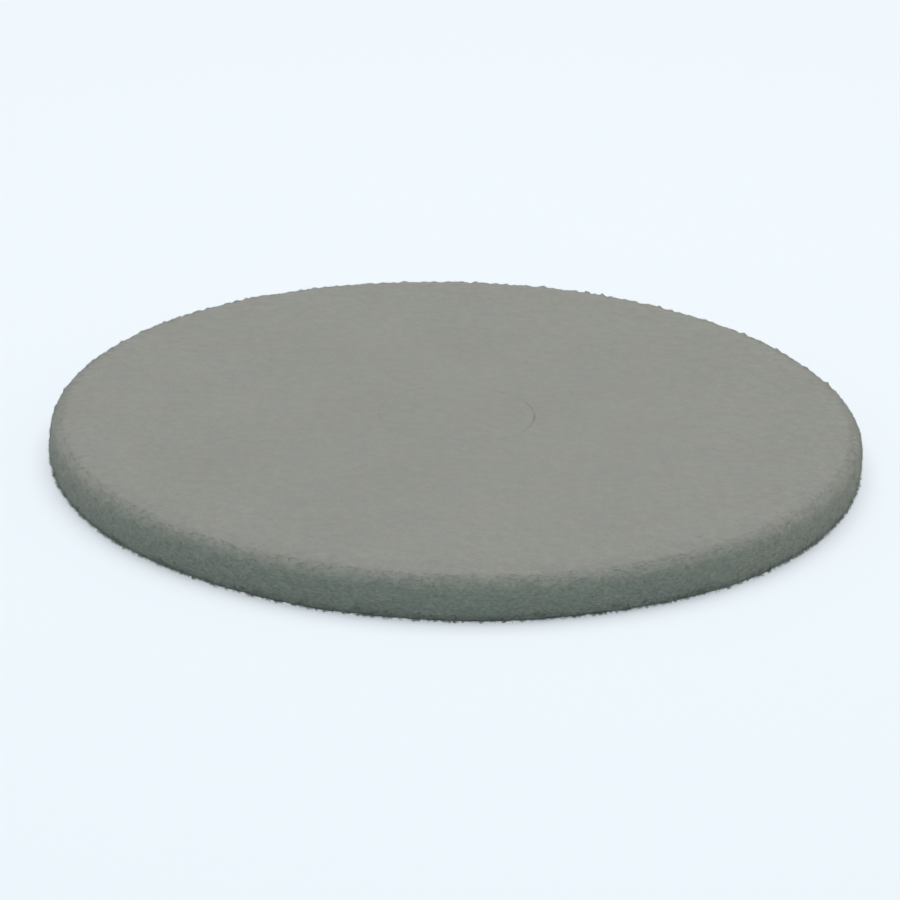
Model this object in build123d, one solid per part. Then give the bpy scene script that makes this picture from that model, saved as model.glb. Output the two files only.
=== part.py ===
"""Thick round disc of non-woven felt with a die-cut knock-out plug in its centre.

Millimetres, +Z up. The origin is the centre of the underside, where the disc lies.
The disc is stamped out of one felt web with a steel rule die. The same stroke cuts a small
circle in the middle, so two separate pieces of felt leave the press: the working ring and
the plug that still fills its centre hole.
"""
from build123d import *
import os

# ---- driving dimensions, mm ----
inch = 25.4
disc_diameter = 17.0 * inch
disc_thickness = 1.0 * inch
plug_cut_diameter = 3.25 * inch  # the centre die's own diameter, which is the hole's size
cut_gap = 0.3  # felt lost and pushed aside along the cut, measured on the radius
top_edge_round = 9.0  # the die pulls the upper face well down over the outer edge
bottom_edge_round = 6.5  # the face that lay on the cutting board stays sharper
cut_lip_round = 0.8  # the same pull at the centre cut, on both faces

# ---- derived ----
disc_radius = disc_diameter / 2
hole_radius = plug_cut_diameter / 2
plug_radius = hole_radius - cut_gap


def lower_edges(solid):
    """Circular edges that lie in the underside."""
    return solid.edges().filter_by(GeomType.CIRCLE).group_by(Axis.Z)[0]


def upper_edges(solid):
    """Circular edges that lie in the upper face."""
    return solid.edges().filter_by(GeomType.CIRCLE).group_by(Axis.Z)[-1]


def round_slab(radius):
    """Plain slab of felt, as thick as the web, standing on z = 0."""
    return Cylinder(radius, disc_thickness, align=(Align.CENTER, Align.CENTER, Align.MIN))


def felt_ring():
    """Working ring: everything between the centre cut and the soft outer edge."""
    ring = round_slab(disc_radius)
    ring = fillet(upper_edges(ring), top_edge_round)
    ring = fillet(lower_edges(ring), bottom_edge_round)
    ring -= round_slab(hole_radius)
    hole_rim_top = upper_edges(ring).sort_by(SortBy.RADIUS)[0]
    hole_rim_bottom = lower_edges(ring).sort_by(SortBy.RADIUS)[0]
    return fillet([hole_rim_top, hole_rim_bottom], cut_lip_round)


def centre_plug():
    """Round plug of the same felt that fills the hole until it is knocked out."""
    plug = round_slab(plug_radius)
    return fillet(upper_edges(plug) + lower_edges(plug), cut_lip_round)


nodes = {
    "felt_ring": felt_ring(),
    "centre_plug": centre_plug(),
}

os.makedirs("parts", exist_ok=True)
for name, shape in nodes.items():
    export_step(shape, f"parts/{name}.step")
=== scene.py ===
"""Looks of a thick felt polishing disc with a knock-out centre plug.

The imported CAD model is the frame: it gives the size and place of the disc and of its plug. The two felt
solids are replaced by soft-edged felt bodies with real relief, and by loose fibres that lie on them and
stand off their cuts.
Lengths are metres, +Z is up, and the disc lies on the floor at z = 0.
"""
import math
from collections import namedtuple

import bpy
import numpy as np
from mathutils import Matrix, Vector


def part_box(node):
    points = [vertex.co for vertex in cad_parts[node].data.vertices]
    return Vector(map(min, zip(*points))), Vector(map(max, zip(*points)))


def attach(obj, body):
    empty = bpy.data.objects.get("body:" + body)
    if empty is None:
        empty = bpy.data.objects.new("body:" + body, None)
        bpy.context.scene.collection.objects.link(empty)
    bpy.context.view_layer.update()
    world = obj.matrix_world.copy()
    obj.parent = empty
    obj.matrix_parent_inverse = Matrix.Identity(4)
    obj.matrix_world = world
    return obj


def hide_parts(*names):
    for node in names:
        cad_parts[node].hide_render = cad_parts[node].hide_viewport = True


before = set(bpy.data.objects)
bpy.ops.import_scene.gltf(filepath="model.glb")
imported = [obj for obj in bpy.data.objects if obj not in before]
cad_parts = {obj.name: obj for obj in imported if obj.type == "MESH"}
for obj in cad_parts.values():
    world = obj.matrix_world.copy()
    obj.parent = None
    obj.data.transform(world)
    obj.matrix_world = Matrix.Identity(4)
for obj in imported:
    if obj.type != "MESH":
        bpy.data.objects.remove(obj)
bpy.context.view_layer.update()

ring_low, ring_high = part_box("felt_ring")
plug_low, plug_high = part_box("centre_plug")

# ---- sizes ----
MM = 0.001
DISC_RADIUS = (ring_high.x - ring_low.x) / 2
THICKNESS = ring_high.z - ring_low.z
PLUG_RADIUS = (plug_high.x - plug_low.x) / 2
CUT_GAP = 0.3 * MM
HOLE_RADIUS = PLUG_RADIUS + CUT_GAP
CROWN_RADIUS = 60 * MM  # the face falls away gently before the edge proper
UPPER_ROUND = 9 * MM
LOWER_ROUND = 6.5 * MM
CROWN_TILT = 12  # degrees that the crown has turned where the upper round takes over
BARREL_TILT = 9  # degrees that the rim leans in at the top and at the bottom of its wall
CUT_LIP = 0.015 * MM
CUT_FLARE = 0.146 * MM  # the felt closes up again at the mouths of the cut
MOUTH_DEPTH = 2 * MM
LIP_MARGIN = 5 * MM  # band beside the cut with closer rows
LIP_GUARD = 0.08 * MM  # one tight row beside each lip, so that its turn doesn't shade the face
FUZZ = 0.6 * MM  # the solid felt stops this far inside the disc's size, and loose ends reach it
FACE_STEP_RADIUS = 118 * MM  # inside this radius the faces need only half as many columns

# ---- marks on the upper face ----
MARK_ANGLE = 0.05  # radians from +X to the middle of the stretch where the centre cut shows
MARK_SPREAD = 0.33  # radians from there to where it has nearly gone
MARK_REACH = 2.4 * MM  # how far from the cut its lips have moved
RING_LIP_DIP = 0.14 * MM
PLUG_LIP_RISE = 0.06 * MM
LINT_PLACE = (-80.6 * MM, -26.5 * MM, THICKNESS)

# ---- columns around the disc; each count is twice the one inside it ----
RIM_COLUMNS = 1536
FACE_COLUMNS = RIM_COLUMNS // 2
CORE_COLUMNS = FACE_COLUMNS // 2

# ---- relief: how deep each band of waves goes, its shortest and longest wave, and its seed ----
Waves = namedtuple("Waves", "depth shortest longest seed")
WAVES_PER_BAND = 44
FACE_WAVES = (Waves(0.16 * MM, 60 * MM, 150 * MM, seed=11),
              Waves(0.04 * MM, 14 * MM, 34 * MM, seed=12),
              Waves(0.015 * MM, 6 * MM, 10 * MM, seed=13))
WALL_SWELL = Waves(0.20 * MM, 60 * MM, 150 * MM, seed=14)
WALL_NIBBLES = (Waves(0.08 * MM, 9 * MM, 22 * MM, seed=15),
                Waves(0.07 * MM, 4 * MM, 8 * MM, seed=16))
OUT_OF_ROUND = Waves(0.35 * MM, 110 * MM, 320 * MM, seed=17)
RIM_LUMPS = Waves(0.05 * MM, 4 * MM, 9 * MM, seed=18)
FAR_LUMPS = Waves(0.16 * MM, 3 * MM, 6 * MM, seed=19)
LAYER_SQUEEZE = 1.5  # the web is laid flat, so the nibbles of its cut wall are this much wider than high
# Share of the cut walls' relief: slight in the centre cut, where the plug's wall mirrors the hole's.
CUT_RELIEF = {"hole": 0.25, "plug": -0.25}

# ---- fibres: each is a closed spindle with a root, two rings of points and a tip ----
STATIONS = np.array([0, 1 / 3, 2 / 3, 1])  # places along a fibre of its root, its two rings and its tip
ARCH = 4 * STATIONS * (1 - STATIONS)  # 0 at both ends, highest between them
SIDES = 3
STRAND_POINTS = 2 + 2 * SIDES
TUFT_SPREAD = 0.5 * MM
TUFT_DEPTH = 0.15 * MM  # how far under the surface a tuft is rooted
LOWEST = -0.04 * MM  # fibres under the disc are pressed into the felt by the floor
LINT_TONE = 9.0  # a tone that no fibre of the felt has
DARK_TONE = -2.9  # the few fibres with a tone below this are dark ones

# ---- felt colours, linear ----
FACE_FELT = (0.265, 0.2635, 0.241)
FACE_FELT_WARM = (0.268, 0.2625, 0.238)
FACE_FELT_COOL = (0.262, 0.2640, 0.243)
# cut-wall colours: the felt tinted cooler and greener than the face, a painted tint for the cool light the
# sides catch; the cool and olive ones differ at random
CUT_FELT = (0.258, 0.2725, 0.2365)
CUT_FELT_COOL = (0.250, 0.2755, 0.2420)
CUT_FELT_OLIVE = (0.266, 0.2695, 0.2310)
DARK_FLECK = (0.105, 0.100, 0.085)
PALE_LINT = (0.70, 0.70, 0.66)

# ---- studio ----
FLOOR_HALF = 12.0
FLOOR_PALE = (0.79, 0.845, 0.893)
BACKDROP = (0.871, 0.930, 0.983)  # what the lit floor comes to, so that no horizon shows
FLOOR_GLOW = 0.54  # share of the seen floor's brightness that is its own, as on a light table
FLOOR_SEEN = 0.495  # share of its paint in what is seen
FLOOR_BOUNCE = 0.85  # share of its paint that throws light back onto the disc
FLOOR_NEAR = 0.6  # metres from the disc's middle to where the floor starts to turn to backdrop
FLOOR_FAR = 1.3  # and to where it has become backdrop
SKY = (0.84, 0.94, 1.0)
SKY_STRENGTH = 0.37

# ---- camera ----
CAMERA_ELEVATION = math.radians(22.0)
CAMERA_ROLL = math.radians(1.5)
CAMERA_DISTANCE = 11.09 * DISC_RADIUS
CAMERA_LENS_MM = 180
CAMERA_SENSOR_MM = 36
AIM_LEFT = 3.05 * MM
AIM_BELOW = 7.3 * MM

# One stretch of a body's outline: its curve runs from t = 0 to t = 1 in the plane of radius and height,
# and cut says how much the felt there is cut wall and not face, at its start and end.
Stretch = namedtuple("Stretch", "name curve rows columns cut")


# ---------------------------------------------------------------- outlines
def line(start, end):
    """Straight run between two (radius, height) points."""
    start, end = np.array(start), np.array(end)
    return lambda t: start + np.asarray(t)[..., None] * (end - start)


def arc(centre, radius, first, last):
    """Arc about a (radius, height) point, between two angles in degrees."""
    def at(t):
        angle = np.radians(first + (last - first) * np.asarray(t))
        return np.array(centre) + radius * np.stack([np.cos(angle), np.sin(angle)], -1)
    return at


def heading(degrees):
    """Unit vector in the plane of radius and height."""
    return np.array([math.cos(math.radians(degrees)), math.sin(math.radians(degrees))])


def turned(curve):
    """The same curve, run the other way."""
    return lambda t: curve(1 - np.asarray(t))


def cut_wall(kind, radius, mouth_radius):
    """Wall of the centre cut, from just above the underside to just below the upper face."""
    top = THICKNESS
    runs = [("mouth", (mouth_radius, CUT_LIP), (radius, MOUTH_DEPTH), 3),
            ("wall", (radius, MOUTH_DEPTH), (radius, top - MOUTH_DEPTH), 9),
            ("mouth", (radius, top - MOUTH_DEPTH), (mouth_radius, top - CUT_LIP), 3)]
    return [Stretch(f"{kind}_{name}", line(start, end), rows, CORE_COLUMNS, (1, 1))
            for name, start, end, rows in runs]


def rim_outline():
    """Rim as arcs, each tangent to the one before: crown, upper round, barrelled wall, lower round."""
    def fall(first, last):
        """Height lost on an arc of unit radius between two angles."""
        return math.sin(math.radians(first)) - math.sin(math.radians(last))

    tilt = BARREL_TILT
    shared = THICKNESS - CROWN_RADIUS * fall(90, 90 - CROWN_TILT) - UPPER_ROUND * fall(90 - CROWN_TILT, tilt)
    barrel_radius = (shared - LOWER_ROUND * fall(-tilt, -90)) / fall(tilt, -tilt)
    # each arc's name, radius, first and last angle, rows, and cut share at its start and end
    plan = [("crown", CROWN_RADIUS, 90, 90 - CROWN_TILT, 5, (0, 0)),
            ("upper_round", UPPER_ROUND, 90 - CROWN_TILT, tilt, 8, (0, 1)),
            ("rim_wall", barrel_radius, tilt, -tilt, 10, (1, 1)),
            ("lower_round", LOWER_ROUND, -tilt, -90, 5, (1, 0.4))]
    widest = DISC_RADIUS - FUZZ
    stretches, point = [], np.array([0.0, THICKNESS])
    for name, radius, first, last, rows, cut in plan:
        centre = point - radius * heading(first)
        if name == "rim_wall":
            reach = centre[0] + radius
        stretches.append((name, centre, radius, first, last, rows, cut))
        point = centre + radius * heading(last)
    shift = np.array([widest - reach, 0.0])
    return [Stretch(name, arc(centre + shift, radius, first, last), rows, RIM_COLUMNS, cut)
            for name, centre, radius, first, last, rows, cut in stretches]


def ring_outline():
    """Closed outline of the working ring: up the hole, over the face, down the rim, back underneath."""
    top = THICKNESS
    mouth = HOLE_RADIUS - CUT_FLARE
    lip = mouth + CUT_LIP
    rim = rim_outline()
    upper_edge = rim[0].curve(0.0)[0]
    lower_edge = rim[-1].curve(1.0)[0]
    return cut_wall("hole", HOLE_RADIUS, mouth) + [
        Stretch("hole_lip", arc((lip, top - CUT_LIP), CUT_LIP, 180, 90), 2, CORE_COLUMNS, (1, 0)),
        Stretch("hole_lip", line((lip, top), (lip + LIP_GUARD, top)), 1, CORE_COLUMNS, (0, 0)),
        Stretch("upper_core", line((lip + LIP_GUARD, top), (lip + LIP_MARGIN, top)), 5, CORE_COLUMNS, (0, 0)),
        Stretch("upper_core", line((lip + LIP_MARGIN, top), (FACE_STEP_RADIUS, top)),
                24, CORE_COLUMNS, (0, 0)),
        Stretch("upper_face", line((FACE_STEP_RADIUS, top), (upper_edge, top)),
                24, FACE_COLUMNS, (0, 0)),
        *rim,
        Stretch("under_face", line((lower_edge, 0), (FACE_STEP_RADIUS, 0)),
                11, FACE_COLUMNS, (0.4, 0)),
        Stretch("under_core", line((FACE_STEP_RADIUS, 0), (lip, 0)), 12, CORE_COLUMNS, (0, 0)),
        Stretch("hole_lip", arc((lip, CUT_LIP), CUT_LIP, 270, 180), 2, CORE_COLUMNS, (0, 1)),
    ]


def plug_face(height, edge, inward):
    """Stretches of a plug face, whose columns halve towards the middle. Runs inward or outward."""
    radii = [1.5 * MM, 3 * MM, 6 * MM, 12 * MM, 24 * MM, edge - LIP_MARGIN, edge - LIP_GUARD, edge]
    rows = [1, 2, 4, 8, 10, 5, 1]
    columns = [CORE_COLUMNS // n for n in (16, 8, 4, 2, 1, 1, 1)]
    runs = [((inner, height), (outer, height), n, m)
            for inner, outer, n, m in zip(radii, radii[1:], rows, columns)]
    if inward:
        runs = [(outer, inner, n, m) for inner, outer, n, m in reversed(runs)]
    names = ["plug_middle"] * 3 + ["plug_under" if inward else "plug_upper"] * 4
    if inward:
        names.reverse()
    return [Stretch(name, line(start, end), n, m, (0, 0)) for name, (start, end, n, m) in zip(names, runs)]


def plug_outline():
    """Outline of the plug from the middle of its upper face to the middle of its underside."""
    top = THICKNESS
    mouth = PLUG_RADIUS + CUT_FLARE
    edge = mouth - CUT_LIP
    upper_lip = Stretch("plug_upper_lip", arc((edge, top - CUT_LIP), CUT_LIP, 90, 0), 2, CORE_COLUMNS, (0, 1))
    lower_lip = Stretch("plug_lower_lip", arc((edge, CUT_LIP), CUT_LIP, 0, -90), 2, CORE_COLUMNS, (1, 0))
    wall = [Stretch(s.name, turned(s.curve), s.rows, s.columns, s.cut)
            for s in reversed(cut_wall("plug", PLUG_RADIUS, mouth))]
    return [*plug_face(top, edge, inward=False), upper_lip, *wall, lower_lip,
            *plug_face(0.0, edge, inward=True)]


# ---------------------------------------------------------------- felt relief
def waves(points, band):
    """Smooth random relief of unit size: plane waves whose lengths lie between the band's two."""
    rng = np.random.default_rng(band.seed)
    way = rng.normal(size=(WAVES_PER_BAND, 3))
    way /= np.linalg.norm(way, axis=1)[:, None]
    lengths = rng.uniform(band.shortest, band.longest, WAVES_PER_BAND)
    phase = rng.uniform(0, 2 * math.pi, WAVES_PER_BAND)
    turns = points @ (way * (2 * math.pi / lengths)[:, None]).T + phase
    return np.cos(turns).sum(-1) * math.sqrt(2 / WAVES_PER_BAND)


def relief(points, cut):
    """How far the felt stands proud of its plain outline. Faces are even, cut walls are nibbled."""
    face = sum(band.depth * waves(points, band) for band in FACE_WAVES)
    wall = WALL_SWELL.depth * waves(points, WALL_SWELL)
    for band in WALL_NIBBLES:
        wall = wall + band.depth * waves(points * (1, 1, LAYER_SQUEEZE), band)
    return face * (1 - cut) + wall * cut


def peaked(lumps):
    """The same relief with its heights and hollows drawn out into tufts and nicks."""
    return lumps + 0.6 * np.abs(lumps) * lumps


def ragged(points, radius):
    """Small lumps where the felt was cut and rubbed: only on the rim, and rougher on its far side, +Y."""
    def rising(start, width):
        """0 where the rim is further off than start, growing to 1 within width of there."""
        return np.clip((start - (DISC_RADIUS - radius)) / width, 0, 1)

    on_rim = rising(20 * MM, 12 * MM)
    on_edge = rising(12 * MM, 4 * MM)
    far_side = np.clip(0.5 + points[..., 1] / (0.6 * DISC_RADIUS), 0, 1)
    return (RIM_LUMPS.depth * on_rim * peaked(waves(points, RIM_LUMPS))
            + FAR_LUMPS.depth * on_edge * far_side * peaked(waves(points, FAR_LUMPS)))


def centre_relief(points, normal, share):
    """Shift of the plug or of the hole's wall: as the faces' relief by the faces, as the walls' between.

    The two lips of the centre cut thus rise and sink together, and the cut stays shut."""
    height = points[..., 2]
    depth = np.minimum(height, THICKNESS - height)
    mouth = np.clip(1 - depth / MOUTH_DEPTH, 0, 1)
    lift = relief(points, 0.0) * np.sign(height - THICKNESS / 2) * mouth
    push = relief(points, 1.0) * share * (1 - mouth)
    return normal * push[..., None] + np.stack([0 * lift, 0 * lift, lift], -1)


def out_of_round(points, radius):
    """The die leaves the rim a little off a true circle. Dies away from the rim inward."""
    return OUT_OF_ROUND.depth * waves(points, OUT_OF_ROUND) * (radius / DISC_RADIUS) ** 6


def cut_mark(theta, radius, belongs_to_plug):
    """Height change beside the centre cut, near +X alone: the ring's lip dips and the plug's stands."""
    turn = theta - MARK_ANGLE
    side = np.exp(-(np.arctan2(np.sin(turn), np.cos(turn)) / MARK_SPREAD) ** 2)
    reach = np.exp(-np.abs(radius - HOLE_RADIUS) / MARK_REACH)
    return (PLUG_LIP_RISE if belongs_to_plug else -RING_LIP_DIP) * side * reach


def felt_at(stretch, t, theta):
    """Point, outward normal and cut share of the felt surface, for arrays t and theta."""
    t = np.asarray(t)
    along = stretch.curve(t + 1e-3) - stretch.curve(t - 1e-3)
    along /= np.linalg.norm(along, axis=-1)[..., None]
    cut = stretch.cut[0] + (stretch.cut[1] - stretch.cut[0]) * t * t * (3 - 2 * t)
    radius, height = np.moveaxis(stretch.curve(t), -1, 0)
    cos, sin = np.cos(theta), np.sin(theta)
    normal = np.stack([-along[..., 1] * cos, -along[..., 1] * sin, along[..., 0]], -1)
    base = np.stack([radius * cos, radius * sin, height], -1)
    kind = stretch.name.split("_")[0]
    if kind in CUT_RELIEF:
        point = base + centre_relief(base, normal, CUT_RELIEF[kind])
    else:
        point = base + normal * (relief(base, cut) + ragged(base, radius))[..., None]
    widen = out_of_round(base, radius)
    near_top = np.clip(2 * height / THICKNESS - 1, 0, 1) ** 8
    point += np.stack([cos * widen, sin * widen, near_top * cut_mark(theta, radius, kind == "plug")], -1)
    point[..., 2] = np.maximum(point[..., 2], 0.0)
    return point, normal, cut


# ---------------------------------------------------------------- meshes
def band(first, second):
    """Faces between two loops of vertex numbers, one of which may have twice as many as the other."""
    first, second = list(first), list(second)
    m, n = len(first), len(second)
    if m == n:
        return [(first[i], second[i], second[(i + 1) % n], first[(i + 1) % n]) for i in range(n)]
    faces = []
    if n == 2 * m:
        for i in range(m):
            a, b = first[i], first[(i + 1) % m]
            c, d, e = second[2 * i], second[2 * i + 1], second[(2 * i + 2) % n]
            faces += [(a, c, d), (a, d, b), (b, d, e)]
        return faces
    for i in range(n):
        a, b = second[i], second[(i + 1) % n]
        c, d, e = first[2 * i], first[2 * i + 1], first[(2 * i + 2) % m]
        faces += [(a, d, c), (a, b, d), (b, e, d)]
    return faces


def make_mesh(name, points, faces, **attributes):
    """Smooth mesh object with one float attribute on its vertices for each named array."""
    mesh = bpy.data.meshes.new(name)
    mesh.from_pydata(points.tolist(), [], faces)
    mesh.shade_smooth()
    for key, values in attributes.items():
        layer = mesh.attributes.new(key, "FLOAT", "POINT")
        layer.data.foreach_set("value", np.asarray(values, np.float32))
    piece = bpy.data.objects.new(name, mesh)
    bpy.context.scene.collection.objects.link(piece)
    return piece


def revolve_felt(name, outline, closed):
    """Felt body swept round the axis. An outline that isn't closed starts and ends on the axis."""
    points, cuts, loops, count = [], [], [], 0
    for stretch in outline:
        theta = np.arange(stretch.columns) * 2 * math.pi / stretch.columns
        for row in range(stretch.rows):
            t = np.full(stretch.columns, row / stretch.rows)
            place, _, cut = felt_at(stretch, t, theta)
            points.append(place)
            cuts.append(cut)
            loops.append(range(count, count + stretch.columns))
            count += stretch.columns
    faces = []
    for first, second in zip(loops, loops[1:]):
        faces += band(first, second)
    if closed:
        faces += band(loops[-1], loops[0])
    else:
        for loop, flip in ((loops[0], False), (loops[-1], True)):
            centre = np.concatenate(points)[list(loop)].mean(0)
            points.append(centre[None])
            cuts.append(np.zeros(1))
            ends = [(loop[i], loop[(i + 1) % len(loop)], count) for i in range(len(loop))]
            faces += [(b, a, c) for a, b, c in ends] if flip else ends
            count += 1
    points, cuts = np.concatenate(points), np.concatenate(cuts)
    return make_mesh(name, points, faces, cut=cuts)


# ---------------------------------------------------------------- fibres
def unit(vectors):
    """The same vectors, each one metre long."""
    return vectors / np.linalg.norm(vectors, axis=-1)[..., None]


class FeltSurface:
    """A body's outline laid out as one distance, so that a fibre can run from stretch to stretch."""

    def __init__(self, outline, closed):
        self.outline = outline
        self.closed = closed
        lengths = []
        for stretch in outline:
            steps = stretch.curve(np.linspace(0, 1, 33))
            lengths.append(np.linalg.norm(np.diff(steps, axis=0), axis=1).sum())
        self.starts = np.concatenate([[0.0], np.cumsum(lengths)])

    def at(self, distance, theta):
        """Points, outward normals and cut shares at arrays of outline distance and angle."""
        total = self.starts[-1]
        distance = distance % total if self.closed else np.clip(distance, 0, total * (1 - 1e-9))
        index = np.searchsorted(self.starts, distance, side="right") - 1
        point, normal, cut = np.zeros(distance.shape + (3,)), np.zeros(distance.shape + (3,)), distance * 0
        for number, stretch in enumerate(self.outline):
            here = index == number
            length = self.starts[number + 1] - self.starts[number]
            t = (distance[here] - self.starts[number]) / length
            point[here], normal[here], cut[here] = felt_at(stretch, t, theta[here])
        return point, normal, cut

    def scatter(self, rng, names, count):
        """Random outline distances and angles on the named stretches, even over their area."""
        distances, weights = [], []
        for number, stretch in enumerate(self.outline):
            if stretch.name in names:
                t = np.linspace(0.01, 0.99, 50)
                length = self.starts[number + 1] - self.starts[number]
                distances.append(self.starts[number] + t * length)
                weights.append(stretch.curve(t)[:, 0] * length)
        distances, weights = np.concatenate(distances), np.concatenate(weights)
        picked = rng.choice(len(distances), count, p=weights / weights.sum())
        step = np.median(np.diff(distances))
        return distances[picked] + rng.uniform(-0.5, 0.5, count) * step, rng.uniform(0, 2 * math.pi, count)


def strands(name, path, up, thickness, flat, tone, cut):
    """Loose fibres, each a closed three-sided spindle along its own path of four points."""
    path[..., 2] = np.maximum(path[..., 2], LOWEST)
    direction = unit(path[:, 2] - path[:, 1])
    across = unit(np.cross(direction, up))
    down = np.cross(direction, across)
    rings = []
    for station in (1, 2):
        for angle in np.radians(np.arange(SIDES) * 360 / SIDES - 90):
            offset = math.cos(angle) * across + math.sin(angle) * flat * down
            rings.append(path[:, station] + offset * (thickness / 2)[:, None])
    points = np.stack([path[:, 0], *rings, path[:, 3]], 1)
    root, tip, pattern = 0, STRAND_POINTS - 1, []
    for side in range(SIDES):
        a, b = 1 + side, 1 + (side + 1) % SIDES
        pattern += [(root, b, a), (a, b, b + SIDES, a + SIDES), (a + SIDES, b + SIDES, tip)]
    faces = [tuple(STRAND_POINTS * i + v for v in face) for i in range(len(path)) for face in pattern]
    return make_mesh(name, points.reshape(-1, 3), faces,
                     tone=np.repeat(tone, STRAND_POINTS), cut=np.repeat(cut, STRAND_POINTS))


def lying_fibres(surface, name, names, seed, count, longest, thickness, lift,
                 shades=1.0, level=False, bundle=1, loose=0.0):
    """Fibres that lie along the named stretches, with both ends worked in and their middles just clear.

    They come in bundles of so many, whose fibres start up to so loose a distance from each other.
    Shades says how much they differ in tone."""
    rng = np.random.default_rng(seed)
    distance, theta = (np.repeat(a, bundle) for a in surface.scatter(rng, names, count // bundle))
    distance = distance + rng.uniform(-loose, loose, count)
    theta = theta + rng.uniform(-loose, loose, count) / DISC_RADIUS
    # level fibres run nearly round the disc, as the web was laid, and the others run any way
    way = rng.normal(0, 0.3, count) + math.pi / 2 * rng.choice((-1, 1), count)
    if not level:
        way = rng.uniform(0, 2 * math.pi, count)
    length = longest * rng.uniform(0.35, 1, count)
    sweep = length * rng.normal(0, 0.14, count)
    ahead = length[:, None] * (STATIONS - 0.5)
    aside = sweep[:, None] * ARCH
    along_outline = ahead * np.cos(way)[:, None] - aside * np.sin(way)[:, None]
    round_axis = ahead * np.sin(way)[:, None] + aside * np.cos(way)[:, None]
    middle, _, _ = surface.at(distance, theta)
    radius = np.hypot(middle[:, 0], middle[:, 1])
    point, normal, cut = surface.at(distance[:, None] + along_outline,
                                    theta[:, None] + round_axis / radius[:, None])
    sunk = 0.6 * thickness
    rise = (lift * rng.uniform(0.2, 1, count) + sunk)[:, None] * ARCH - sunk
    path = point + normal * rise[..., None]
    width = thickness * rng.uniform(0.7, 1.3, count)
    tone = shades * rng.normal(0, 1, count)
    return strands(name, path, normal[:, 1], width, 0.6, tone, cut[:, 1])


def standing_fibres(surface, name, names, seed, tufts, per_tuft, longest, thickness, pale):
    """Cut ends in loose tufts that lean out of the named stretches, each tuft its own way.

    Loose ends are painted paler than the mat, by pale: painted light for the light they let through and the
    shade they cast on each other."""
    rng = np.random.default_rng(seed)
    distance, theta = surface.scatter(rng, names, tufts)
    place, normal, cut = surface.at(distance, theta)
    lean = unit(np.cross(normal, rng.normal(size=normal.shape))) * rng.uniform(0.2, 1.5, tufts)[:, None]
    place, normal, cut, lean = (np.repeat(a, per_tuft, axis=0) for a in (place, normal, cut, lean))
    n = len(place)
    sideways = unit(np.cross(normal, rng.normal(size=(n, 3))))
    root = place + sideways * (TUFT_SPREAD * rng.uniform(0, 1, n))[:, None] - normal * TUFT_DEPTH
    way = unit(normal + lean + 0.35 * rng.normal(size=(n, 3)))
    length = longest * rng.uniform(0.3, 1, n)
    bow = unit(np.cross(way, rng.normal(size=(n, 3)))) * (length * rng.uniform(0, 0.3, n))[:, None]
    straight = root[:, None] + way[:, None] * (length[:, None] * STATIONS)[..., None]
    path = straight + bow[:, None] * ARCH[:, None]
    width = thickness * rng.uniform(0.7, 1.3, n)
    side = unit(np.cross(way, rng.normal(size=(n, 3))))
    return strands(name, path, side, width, 1.0, pale + rng.normal(0, 1, n), cut)


def edge_fibres(surface, name, names, seed, count, longest, thickness, lift):
    """Fibres rooted in the plug's lip that lie out over the cut, so that it hardly shows."""
    rng = np.random.default_rng(seed)
    distance, theta = surface.scatter(rng, names, count)
    place, _, cut = surface.at(distance, theta)
    outward = np.stack([np.cos(theta), np.sin(theta), 0 * theta], -1)
    sideways = np.stack([-outward[:, 1], outward[:, 0], 0 * theta], -1)
    turn = rng.normal(0, 0.7, count)
    way = outward * np.cos(turn)[:, None] + sideways * np.sin(turn)[:, None]
    length = longest * rng.uniform(0.4, 1, count)
    path = place[:, None] + way[:, None] * (length[:, None] * (STATIONS - 0.4))[..., None]
    path[..., 2] = THICKNESS + lift * rng.uniform(0.3, 1, count)[:, None] * (ARCH * 0.7 + 0.3)
    path[..., 2] += (place[:, 2] - THICKNESS)[:, None]
    width = thickness * rng.uniform(0.7, 1.3, count)
    up = np.zeros((count, 3)) + (0, 0, 1)
    return strands(name, path, up, width, 0.6, 0.5 * rng.normal(0, 1, count), cut * 0)


def lint_speck(name, place, seed, count, reach, thickness):
    """A small pale tangle of foreign fibre, caught on the face."""
    rng = np.random.default_rng(seed)
    corners = rng.normal(0, 0.5 * reach, (count, len(STATIONS), 3)) * (1, 1, 0.3)
    corners[..., 2] = np.abs(corners[..., 2])
    path = np.array(place) + corners
    up = unit(rng.normal(size=(count, 3)))
    return strands(name, path, up, np.full(count, thickness), 1.0, np.full(count, LINT_TONE),
                   np.zeros(count))


# ---------------------------------------------------------------- materials
def add(tree, kind, inputs=None, **settings):
    """New node with its settings and inputs; an input that is a socket is linked."""
    made = tree.nodes.new(kind)
    for key, value in settings.items():
        setattr(made, key, value)
    for key, value in (inputs or {}).items():
        if isinstance(value, bpy.types.NodeSocket):
            tree.links.new(value, made.inputs[key])
        else:
            made.inputs[key].default_value = value
    return made


def arithmetic(tree, operation, *values):
    """Result of a maths node on numbers or sockets."""
    return add(tree, "ShaderNodeMath", dict(enumerate(values)), operation=operation).outputs[0]


def remap(tree, value, low, high, new_low, new_high):
    """The value's run from low to high, stretched to run from new_low to new_high and held there."""
    inputs = {"Value": value, "From Min": low, "From Max": high, "To Min": new_low, "To Max": new_high}
    return add(tree, "ShaderNodeMapRange", inputs).outputs[0]


def mixed(tree, share, first, second):
    """Colour between two, each a linear triple or a socket."""
    made = add(tree, "ShaderNodeMix", data_type="RGBA")
    for key, value in ((0, share), (6, first), (7, second)):
        if isinstance(value, bpy.types.NodeSocket):
            tree.links.new(value, made.inputs[key])
        elif key:
            made.inputs[key].default_value = (*value, 1)
        else:
            made.inputs[key].default_value = value
    return made.outputs[2]


def scaled(tree, colour, factor):
    """Colour multiplied by a number."""
    vector = add(tree, "ShaderNodeVectorMath", {0: colour, "Scale": factor}, operation="SCALE")
    return vector.outputs[0]


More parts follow.
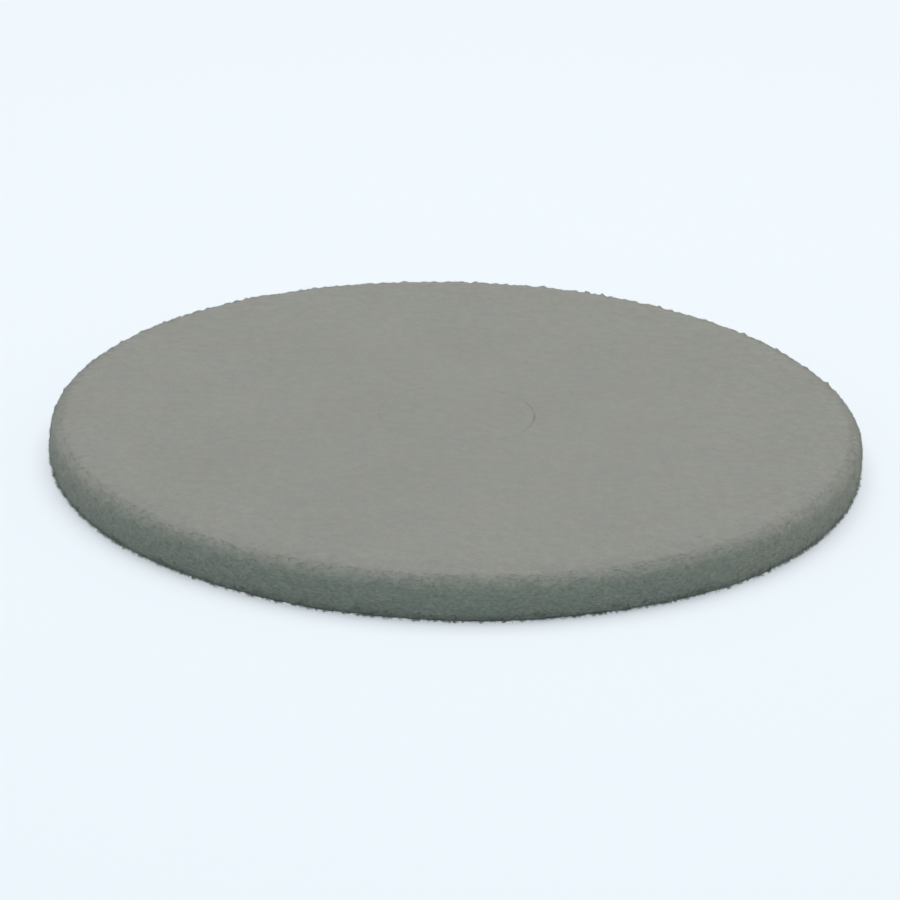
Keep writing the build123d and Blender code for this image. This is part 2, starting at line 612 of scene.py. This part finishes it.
def noise(tree, place, per_metre, detail=2.0, rough=0.5, distortion=0.0):
    """Noise between 0 and 1, with so many cells per metre."""
    inputs = {"Vector": place, "Scale": per_metre, "Detail": detail, "Roughness": rough,
              "Distortion": distortion}
    return add(tree, "ShaderNodeTexNoise", inputs).outputs["Fac"]


def fibre_lines(tree, place, per_metre, offset):
    """Thin wandering lines, bright where a noise crosses its middle, like strands in a web."""
    moved = add(tree, "ShaderNodeVectorMath", {0: place, 1: offset}, operation="ADD").outputs[0]
    field = noise(tree, moved, per_metre, detail=1.0, distortion=0.6)
    apart = arithmetic(tree, "ABSOLUTE", arithmetic(tree, "SUBTRACT", field, 0.5))
    return remap(tree, apart, 0.0, 0.035, 1.0, 0.0)


def new_material(name):
    """Empty node material and its tree."""
    material = bpy.data.materials.new(name)
    material.use_nodes = True
    tree = material.node_tree
    tree.nodes.clear()
    return material, tree


def face_look(tree, place, mottle):
    """Colour and bump height of the faces: tangled strands, faint mottle and a few dark flecks."""
    cloud = noise(tree, place, per_metre=22, detail=3, rough=0.55)
    grain = noise(tree, place, per_metre=900, detail=2, rough=0.6)
    web = arithmetic(tree, "MAXIMUM", fibre_lines(tree, place, 300, (0, 0, 0)),
                     fibre_lines(tree, place, 420, (0.31, 0.17, 0.05)))

    level = add(tree, "ShaderNodeVectorMath", {0: place, 1: (1, 1, 0)}, operation="MULTIPLY").outputs[0]
    radius = add(tree, "ShaderNodeVectorMath", {0: level}, operation="LENGTH").outputs["Value"]
    rubbed = remap(tree, radius, 0.5 * DISC_RADIUS, 0.95 * DISC_RADIUS, 1.1, 1.7)
    uneven = arithmetic(tree, "ADD", remap(tree, mottle, 0.3, 0.7, -0.04, 0.04),
                        remap(tree, grain, 0.3, 0.7, -0.035, 0.035))
    uneven = arithmetic(tree, "MULTIPLY", uneven, rubbed)
    value = arithmetic(tree, "ADD", remap(tree, cloud, 0.3, 0.7, 0.975, 1.025), uneven)
    value = arithmetic(tree, "ADD", value, arithmetic(tree, "MULTIPLY", web, 0.04))

    cells = add(tree, "ShaderNodeTexVoronoi", {"Vector": place, "Scale": 95.0, "Randomness": 1.0})
    chance = add(tree, "ShaderNodeSeparateColor", {0: cells.outputs["Color"]})
    is_fleck = arithmetic(tree, "LESS_THAN", chance.outputs[0], 0.012)
    near = remap(tree, cells.outputs["Distance"], 0.03, 0.06, 1.0, 0.0)
    fleck = arithmetic(tree, "MULTIPLY", arithmetic(tree, "MULTIPLY", is_fleck, near), 0.4)

    tint = remap(tree, noise(tree, place, per_metre=60), 0.35, 0.65, 0.0, 1.0)
    tinted = mixed(tree, tint, FACE_FELT_WARM, FACE_FELT_COOL)
    colour = mixed(tree, fleck, scaled(tree, tinted, value), DARK_FLECK)
    height = arithmetic(tree, "ADD", arithmetic(tree, "MULTIPLY", web, 0.3),
                        arithmetic(tree, "MULTIPLY", grain, 0.5))
    return colour, height


def wall_look(tree, place):
    """Colour and bump height of cut walls: layered fibre, tinted cooler as painted cool light, grittier low
    down, and painted shade that darkens them towards the floor.
    """
    layered = add(tree, "ShaderNodeMapping", {"Vector": place, "Scale": (1, 1, 2.6)}).outputs[0]
    grain = noise(tree, layered, per_metre=420, detail=3, rough=0.65, distortion=0.4)
    web = fibre_lines(tree, layered, 300, (0.07, 0.23, 0.11))

    above_floor = add(tree, "ShaderNodeSeparateXYZ", {0: place}).outputs["Z"]
    frayed = remap(tree, above_floor, 0.0, THICKNESS, 1.3, 0.6)
    # painted shade: the wall's colour darkens towards the floor, where less light reaches it
    painted_floor_shade = remap(tree, above_floor, 0.0, THICKNESS, 0.89, 1.01)
    grit = arithmetic(tree, "MULTIPLY", remap(tree, grain, 0.25, 0.75, -0.27, 0.27), frayed)
    value = arithmetic(tree, "ADD", arithmetic(tree, "ADD", grit, painted_floor_shade),
                       arithmetic(tree, "MULTIPLY", web, 0.12))

    tint = remap(tree, noise(tree, layered, per_metre=140), 0.35, 0.65, 0.0, 1.0)
    colour = scaled(tree, mixed(tree, tint, CUT_FELT_COOL, CUT_FELT_OLIVE), value)
    height = arithmetic(tree, "ADD", web, arithmetic(tree, "MULTIPLY", grain, 1.6))
    return colour, height


def felt_material():
    """Matted felt, whose look passes from face to cut wall by the mesh's own cut share."""
    material, tree = new_material("felt")
    place = add(tree, "ShaderNodeTexCoord").outputs["Object"]
    cut = add(tree, "ShaderNodeAttribute", attribute_name="cut").outputs["Fac"]
    mottle = noise(tree, place, per_metre=160, detail=3, rough=0.6)
    face_colour, face_height = face_look(tree, place, mottle)
    wall_colour, wall_height = wall_look(tree, place)
    colour = mixed(tree, cut, face_colour, wall_colour)
    bumps = add(tree, "ShaderNodeMix", {0: cut, 2: face_height, 3: wall_height}, data_type="FLOAT").outputs[0]
    bump = add(tree, "ShaderNodeBump", {"Strength": 0.5, "Distance": 0.25 * MM, "Height": bumps})
    rough = remap(tree, mottle, 0.3, 0.7, 0.90, 0.98)
    shader = add(tree, "ShaderNodeBsdfPrincipled",
                 {"Base Color": colour, "Roughness": rough, "Normal": bump.outputs[0],
                  "Specular IOR Level": 0.15, "Sheen Weight": 0.12, "Sheen Roughness": 0.6})
    add(tree, "ShaderNodeOutputMaterial", {"Surface": shader.outputs[0]})
    return material


def strand_material():
    """Single fibres: each its own shade of the felt, a few of them dark, and the lint pale."""
    material, tree = new_material("felt_strand")
    place = add(tree, "ShaderNodeTexCoord").outputs["Object"]
    cut = add(tree, "ShaderNodeAttribute", attribute_name="cut").outputs["Fac"]
    tone = add(tree, "ShaderNodeAttribute", attribute_name="tone").outputs["Fac"]
    # fibres on the cut walls take the cut felt's cooler painted tint
    base = mixed(tree, cut, FACE_FELT, CUT_FELT)
    along = noise(tree, place, per_metre=1500, detail=1)
    # tone runs up to 6 so that the tufts' painted paleness, a painted light, comes through
    value = arithmetic(tree, "ADD", remap(tree, tone, -2.0, 6.0, 0.84, 1.64),
                       remap(tree, along, 0.3, 0.7, -0.06, 0.06))
    colour = scaled(tree, base, value)
    colour = mixed(tree, arithmetic(tree, "LESS_THAN", tone, DARK_TONE), colour, DARK_FLECK)
    colour = mixed(tree, arithmetic(tree, "GREATER_THAN", tone, LINT_TONE - 0.5), colour, PALE_LINT)
    shader = add(tree, "ShaderNodeBsdfPrincipled",
                 {"Base Color": colour, "Roughness": 0.8, "Specular IOR Level": 0.2,
                  "Sheen Weight": 0.1, "Sheen Roughness": 0.6})
    add(tree, "ShaderNodeOutputMaterial", {"Surface": shader.outputs[0]})
    return material


# ---------------------------------------------------------------- the object
def dress(piece, material, body):
    """Gives a piece its material and the body it moves with."""
    piece.data.materials.append(material)
    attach(piece, body)
    return piece


def make_disc(felt, strand):
    """The working ring: its felt body, and the fibres on its faces, rim, edges and hole."""
    outline = ring_outline()
    ring = dress(revolve_felt("ring_felt", outline, closed=True), felt, "disc")
    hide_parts("felt_ring")
    surface = FeltSurface(outline, closed=True)
    pieces = [
        lying_fibres(surface, "ring_upper_fibres", ("upper_core", "upper_face", "crown"), seed=21,
                     count=14000, longest=6 * MM, thickness=0.07 * MM, lift=0.02 * MM, shades=0.5),
        lying_fibres(surface, "ring_rim_fibres", ("upper_round", "rim_wall", "lower_round"), seed=22,
                     count=15000, longest=4 * MM, thickness=0.09 * MM, lift=0.10 * MM,
                     shades=0.8, level=True),
        standing_fibres(surface, "ring_rim_tufts", ("rim_wall",), seed=23,
                        tufts=1600, per_tuft=7, longest=1.2 * MM, thickness=0.08 * MM, pale=1.0),
        standing_fibres(surface, "ring_upper_tufts", ("upper_round",), seed=26,
                        tufts=3400, per_tuft=3, longest=1.1 * MM, thickness=0.06 * MM, pale=2.5),
        standing_fibres(surface, "ring_lower_tufts", ("lower_round",), seed=27,
                        tufts=5200, per_tuft=3, longest=2.4 * MM, thickness=0.12 * MM, pale=0.0),
        lying_fibres(surface, "ring_upper_loops", ("upper_round",), seed=29,
                     count=4500, longest=4.5 * MM, thickness=0.06 * MM, lift=0.6 * MM, shades=0.5),
        lying_fibres(surface, "ring_lower_loops", ("lower_round",), seed=30,
                     count=8000, longest=4.0 * MM, thickness=0.11 * MM, lift=1.6 * MM,
                     bundle=10, loose=0.4 * MM),
        lying_fibres(surface, "ring_under_fibres", ("under_face", "under_core"), seed=24,
                     count=9000, longest=6 * MM, thickness=0.07 * MM, lift=0.03 * MM),
        lying_fibres(surface, "ring_hole_fibres", ("hole_wall", "hole_mouth"), seed=25,
                     count=2600, longest=3.5 * MM, thickness=0.09 * MM, lift=0.08 * MM, level=True),
        standing_fibres(surface, "ring_hole_tufts", ("hole_wall",), seed=34,
                        tufts=1000, per_tuft=4, longest=1.0 * MM, thickness=0.07 * MM, pale=1.0),
        lint_speck("ring_lint", LINT_PLACE, seed=28, count=22, reach=0.6 * MM, thickness=0.17 * MM),
    ]
    for piece in pieces:
        dress(piece, strand, "disc")


def make_plug(felt, strand):
    """The knock-out plug: its felt body, and the fibres on its faces, wall and lip."""
    outline = plug_outline()
    plug = dress(revolve_felt("plug_felt", outline, closed=False), felt, "plug")
    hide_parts("centre_plug")
    surface = FeltSurface(outline, closed=False)
    pieces = [
        lying_fibres(surface, "plug_face_fibres", ("plug_upper", "plug_under"), seed=31,
                     count=1000, longest=6 * MM, thickness=0.07 * MM, lift=0.02 * MM, shades=0.5),
        lying_fibres(surface, "plug_wall_fibres", ("plug_wall", "plug_mouth"), seed=32,
                     count=2600, longest=3.5 * MM, thickness=0.09 * MM, lift=0.08 * MM, level=True),
        standing_fibres(surface, "plug_wall_tufts", ("plug_wall",), seed=35,
                        tufts=1000, per_tuft=4, longest=1.0 * MM, thickness=0.07 * MM, pale=1.0),
        edge_fibres(surface, "plug_edge_fibres", ("plug_upper_lip",), seed=33,
                    count=700, longest=2.5 * MM, thickness=0.05 * MM, lift=0.02 * MM),
    ]
    for piece in pieces:
        dress(piece, strand, "plug")


# ---------------------------------------------------------------- the studio
def make_floor():
    """Plain pale floor, far wider than any view of it. Seen, it glows a little, so shadows stay faint,
    and far off it is all glow, so that it passes into the backdrop without a horizon."""
    half = FLOOR_HALF
    corners = np.array([(-half, -half, 0), (half, -half, 0), (half, half, 0), (-half, half, 0)])
    floor = make_mesh("floor", corners, [(0, 1, 2, 3)])
    material, tree = new_material("floor_paint")
    place = add(tree, "ShaderNodeTexCoord").outputs["Object"]
    radius = add(tree, "ShaderNodeVectorMath", {0: place}, operation="LENGTH").outputs["Value"]
    looked_at = add(tree, "ShaderNodeLightPath").outputs["Is Camera Ray"]
    seen_share = remap(tree, radius, FLOOR_NEAR, FLOOR_FAR, FLOOR_SEEN, 0.0)
    seen_glow = remap(tree, radius, FLOOR_NEAR, FLOOR_FAR, FLOOR_GLOW, 1.0)
    share = remap(tree, looked_at, 0.0, 1.0, FLOOR_BOUNCE, seen_share)
    paint = scaled(tree, FLOOR_PALE, share)
    glow = arithmetic(tree, "MULTIPLY", looked_at, seen_glow)
    shader = add(tree, "ShaderNodeBsdfPrincipled",
                 {"Base Color": paint, "Roughness": 0.9, "Specular IOR Level": 0.1,
                  "Emission Color": (*BACKDROP, 1), "Emission Strength": glow})
    add(tree, "ShaderNodeOutputMaterial", {"Surface": shader.outputs[0]})
    floor.data.materials.append(material)


def make_light(name, size, watts, colour, place):
    """Square soft light that points at the disc."""
    data = bpy.data.lights.new(name, "AREA")
    data.size = size
    data.energy = watts
    data.color = colour
    light = bpy.data.objects.new(name, data)
    light.location = place
    light.rotation_euler = (-Vector(place)).to_track_quat("-Z", "Y").to_euler()
    light.visible_camera = False
    bpy.context.scene.collection.objects.link(light)


def make_studio():
    """Floor, one wide light overhead, weak warm ones at both ends, a weak cool one in front, pale sky."""
    make_floor()
    make_light("overhead_light", size=3.0, watts=66, colour=(1.0, 0.99, 0.96), place=(0.0, 0.4, 2.6))
    make_light("left_light", size=1.2, watts=2.0, colour=(1.0, 0.76, 0.45), place=(-2.2, 0.3, 0.9))
    make_light("right_light", size=1.2, watts=4.5, colour=(1.0, 0.76, 0.45), place=(2.2, 0.3, 0.9))
    make_light("front_light", size=0.5, watts=1.3, colour=(0.40, 1.0, 1.0), place=(0.0, -1.6, 0.5))
    world = bpy.data.worlds.new("studio")
    world.use_nodes = True
    tree = world.node_tree
    tree.nodes.clear()
    soft_light = add(tree, "ShaderNodeBackground", {"Color": (*SKY, 1), "Strength": SKY_STRENGTH})
    seen = add(tree, "ShaderNodeBackground", {"Color": (*BACKDROP, 1), "Strength": 1.0})
    looked_at = add(tree, "ShaderNodeLightPath").outputs["Is Camera Ray"]
    both = add(tree, "ShaderNodeMixShader", {0: looked_at, 1: soft_light.outputs[0], 2: seen.outputs[0]})
    add(tree, "ShaderNodeOutputWorld", {"Surface": both.outputs[0]})
    bpy.context.scene.world = world
    bpy.context.scene.view_settings.view_transform = "Standard"


def make_camera():
    """Long lens at a low angle, a little off level, aimed just below and left of the disc's middle."""
    data = bpy.data.cameras.new("camera")
    data.lens = CAMERA_LENS_MM
    data.sensor_width = CAMERA_SENSOR_MM
    data.clip_end = 100
    camera = bpy.data.objects.new("camera", data)
    bpy.context.scene.collection.objects.link(camera)
    middle = Vector((0, 0, THICKNESS / 2))
    back = Vector((0, -math.cos(CAMERA_ELEVATION), math.sin(CAMERA_ELEVATION)))
    place = middle + back * CAMERA_DISTANCE
    right = Vector((1, 0, 0))
    aim = middle - right * AIM_LEFT - back.cross(right) * AIM_BELOW
    look = (place - aim).normalized()
    level_right = Vector((0, 0, 1)).cross(look).normalized()
    level = Matrix((level_right, look.cross(level_right), look)).transposed()
    rolled = level @ Matrix.Rotation(CAMERA_ROLL, 3, "Z")
    camera.matrix_world = Matrix.Translation(place) @ rolled.to_4x4()
    bpy.context.scene.camera = camera


felt = felt_material()
strand = strand_material()
make_disc(felt, strand)
make_plug(felt, strand)
make_studio()
make_camera()
